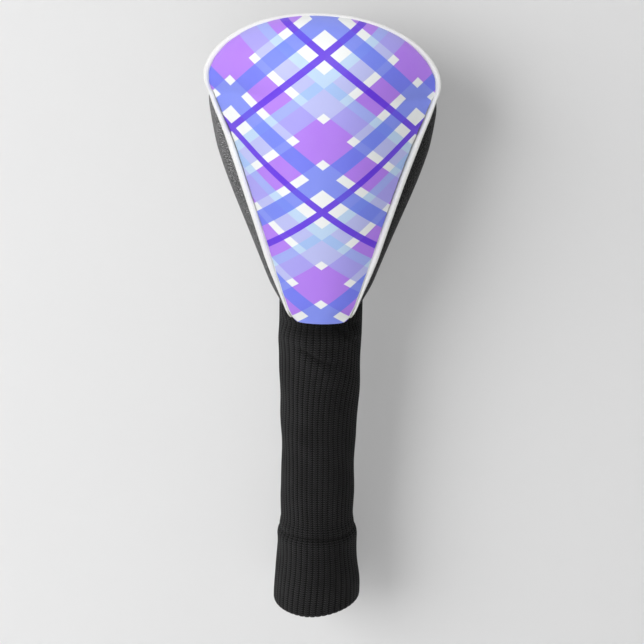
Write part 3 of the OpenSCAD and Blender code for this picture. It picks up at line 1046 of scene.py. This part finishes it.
class COVER_OT_neck(bpy.types.Operator):
    """Fit the elastic and the binding inside the neck"""

    bl_idname = "cover.neck"
    bl_label = "Neck elastic and binding"

    def execute(self, context):
        low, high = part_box("neck_elastic")
        outer, foot, top = high[0] / MM, low[2] / MM, high[2] / MM
        inner = outer - ELASTIC_T
        middle, cords, dent = (outer + inner) / 2, 8, 0.16
        heights = np.linspace(foot + 0.3, top - 0.3, cords * 6 + 1)
        swell = dent * np.abs(np.sin((heights - foot) / (top - foot) * np.pi * cords)) - dent
        face = [(outer + s, h) for s, h in zip(swell, heights)]
        back = [(inner - s, h) for s, h in zip(swell[::-1], heights[::-1])]
        profile = face + [(middle, top)] + back + [(middle, foot)]
        elastic = new_object(revolved("neck_elastic_tape", profile),
                             woven_tape("woven white elastic", (0.72, 0.72, 0.70), 150))
        dress(elastic, "neck_elastic")

        # the binding is an angle: one leg inside the elastic, one over the neck seam
        low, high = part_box("neck_binding")
        reach, foot, top = high[0] / MM, low[2] / MM, high[2] / MM
        leg, web = inner - PLY_GAP, top - BINDING_T
        bore = leg - BINDING_T
        profile = (bend(reach - 0.6, top - 0.6, 0.6, 0, 90)
                   + bend(bore + 0.9, top - 0.9, 0.9, 90, 180)
                   + [(bore, h) for h in np.linspace(top - 2, foot + 1, 8)]
                   + bend(bore + 0.6, foot + 0.6, 0.6, 180, 270)
                   + bend(leg - 0.5, foot + 0.5, 0.5, 270, 360)
                   + [(leg, web - 0.2), (leg + 0.2, web)]
                   + bend(reach - 0.4, web + 0.4, 0.4, 270, 360))
        binding = new_object(revolved("neck_binding_tape", profile),
                             woven_tape("black grosgrain", (0.028, 0.028, 0.03), 170))
        dress(binding, "neck_binding")
        return {"FINISHED"}


def backdrop_finish():
    """Pale wall that glows a little towards the camera and lets the view through from behind."""
    f = Finish("pale backdrop", roughness=0.9, specular=0.1)
    tone = tuple(colours().backdrop)
    f.colour(f.shades(f.ramp(f.noise(60.0, 2.0), 0.3, 0.7, 0.0, 0.35), tone, 1.0, 0.985))
    f.bump(f.noise(0.8), 0.05, 0.1)
    glow = 0.33
    to_camera = f.times(f.node("LightPath").outputs["Is Camera Ray"], glow)
    front = f.node("MixShader", to_camera, f.shader, f.node("Emission", tone))
    behind = f.node("NewGeometry").outputs["Backfacing"]
    f.put(f.tree.nodes["Material Output"].inputs["Surface"],
          f.node("MixShader", behind, front, f.node("BsdfTransparent")))
    return f.material


def lamp(name, place, size, power, pieces, linked="INCLUDE"):
    """A round lamp aimed at the cover that lights only these pieces, or all but these."""
    data = bpy.data.lights.new(name, "AREA")
    data.shape, data.size, data.energy = "DISK", size, power
    light = bpy.data.objects.new(name, data)
    light.location = place
    light.rotation_euler = (-Vector(place)).to_track_quat("-Z", "Y").to_euler()
    bpy.context.scene.collection.objects.link(light)
    lit = bpy.data.collections.new("lit by " + name)
    for piece in pieces:
        lit.objects.link(bpy.data.objects[piece])
    light.light_linking.receiver_collection = lit
    for item in lit.collection_objects:
        item.light_linking.link_state = linked


class COVER_OT_stage(bpy.types.Operator):
    """Set out the pale backdrop, the lamps and the camera"""

    bl_idname = "cover.stage"
    bl_label = "Stage"

    def execute(self, context):
        # a floor that bends up into a wall close behind the cover, leaning back a little
        floor = CAD_BOX[0][2] - 0.11
        half, reach, lean, radius, wall = 2.6, 0.6, 0.075, 0.10, 0.0265
        line = [(-half, floor), (-reach, floor)] + bend(
            wall - radius, floor + radius, radius, -90, -math.degrees(lean), 17)
        line.append((line[-1][0] + lean * 2.4, line[-1][1] + 2.4))
        points = [(x, y, z) for y, z in line for x in (-half, half)]
        faces = [(2 * i, 2 * i + 1, 2 * i + 3, 2 * i + 2) for i in range(len(line) - 1)]
        mesh = bpy.data.meshes.new("backdrop")
        mesh.from_pydata(points, [], faces)
        mesh.polygons.foreach_set("use_smooth", np.ones(len(faces), bool))
        backdrop = new_object(mesh, backdrop_finish())

        world = context.scene.world = bpy.data.worlds.new("studio")
        world.use_nodes = True
        sky = world.node_tree.nodes["Background"].inputs
        sky["Color"].default_value, sky["Strength"].default_value = (1, 1, 1, 1), 0.11

        # one lamp shapes the shadow on the wall, one lights all the rest, two fill pieces
        lamp("wall", (-2.1, -1.6, 0.7), 2.3, 90, ["backdrop"])
        lamp("left", (-1.8, -1.6, 1.2), 1.6, 46, ["backdrop"], "EXCLUDE")
        lamp("front", (0.8, -1.9, 1.3), 1.4, 36, ["crown_panel_cloth", "piping_cover_cloth"])
        lamp("side", (-1.2, -0.05, 0.3), 0.6, 76, ["side_gusset_cloth"])

        rise, roll, distance = math.radians(16), math.radians(0.85), 0.836
        aim = Vector((0.0008, 0, -0.0163))
        data = bpy.data.cameras.new("view")
        data.sensor_width, data.lens = 36, 76.7
        data.clip_start, data.clip_end = 0.01, 20
        camera = bpy.data.objects.new("view", data)
        camera.location = aim + distance * Vector((0, -math.cos(rise), math.sin(rise)))
        level = (aim - camera.location).to_track_quat("-Z", "Y")
        camera.rotation_euler = (level @ Quaternion((0, 0, 1), roll)).to_euler()
        context.scene.collection.objects.link(camera)
        context.scene.camera = camera
        context.scene.view_settings.view_transform = "Standard"
        return {"FINISHED"}


OPERATORS = (COVER_OT_padding, COVER_OT_lining, COVER_OT_crown, COVER_OT_shell, COVER_OT_piping,
             COVER_OT_neck, COVER_OT_hem_thread, COVER_OT_sock, COVER_OT_stage)


class COVER_PT_panel(bpy.types.Panel):
    """The head cover's pieces and what may be changed on them"""

    bl_idname = "COVER_PT_panel"
    bl_label = "Head Cover"
    bl_space_type = "VIEW_3D"
    bl_region_type = "UI"
    bl_category = "Head Cover"

    def draw(self, context):
        for group in (context.scene.cover_sizes, context.scene.cover_colours):
            box = self.layout.box()
            for label in group.bl_rna.properties.keys():
                if label not in ("rna_type", "name"):
                    box.prop(group, label)
        for operator in OPERATORS:
            self.layout.operator(operator.bl_idname)


CLASSES = (CoverSizes, CoverColours, *OPERATORS, COVER_PT_panel)


def register():
    for cls in CLASSES:
        bpy.utils.register_class(cls)
    bpy.types.Scene.cover_sizes = bpy.props.PointerProperty(type=CoverSizes)
    bpy.types.Scene.cover_colours = bpy.props.PointerProperty(type=CoverColours)


def unregister():
    del bpy.types.Scene.cover_colours
    del bpy.types.Scene.cover_sizes
    for cls in reversed(CLASSES):
        bpy.utils.unregister_class(cls)


def main():
    register()
    for operator in OPERATORS:
        getattr(bpy.ops.cover, operator.bl_idname.split(".")[1])()


if __name__ == "__main__":
    main()
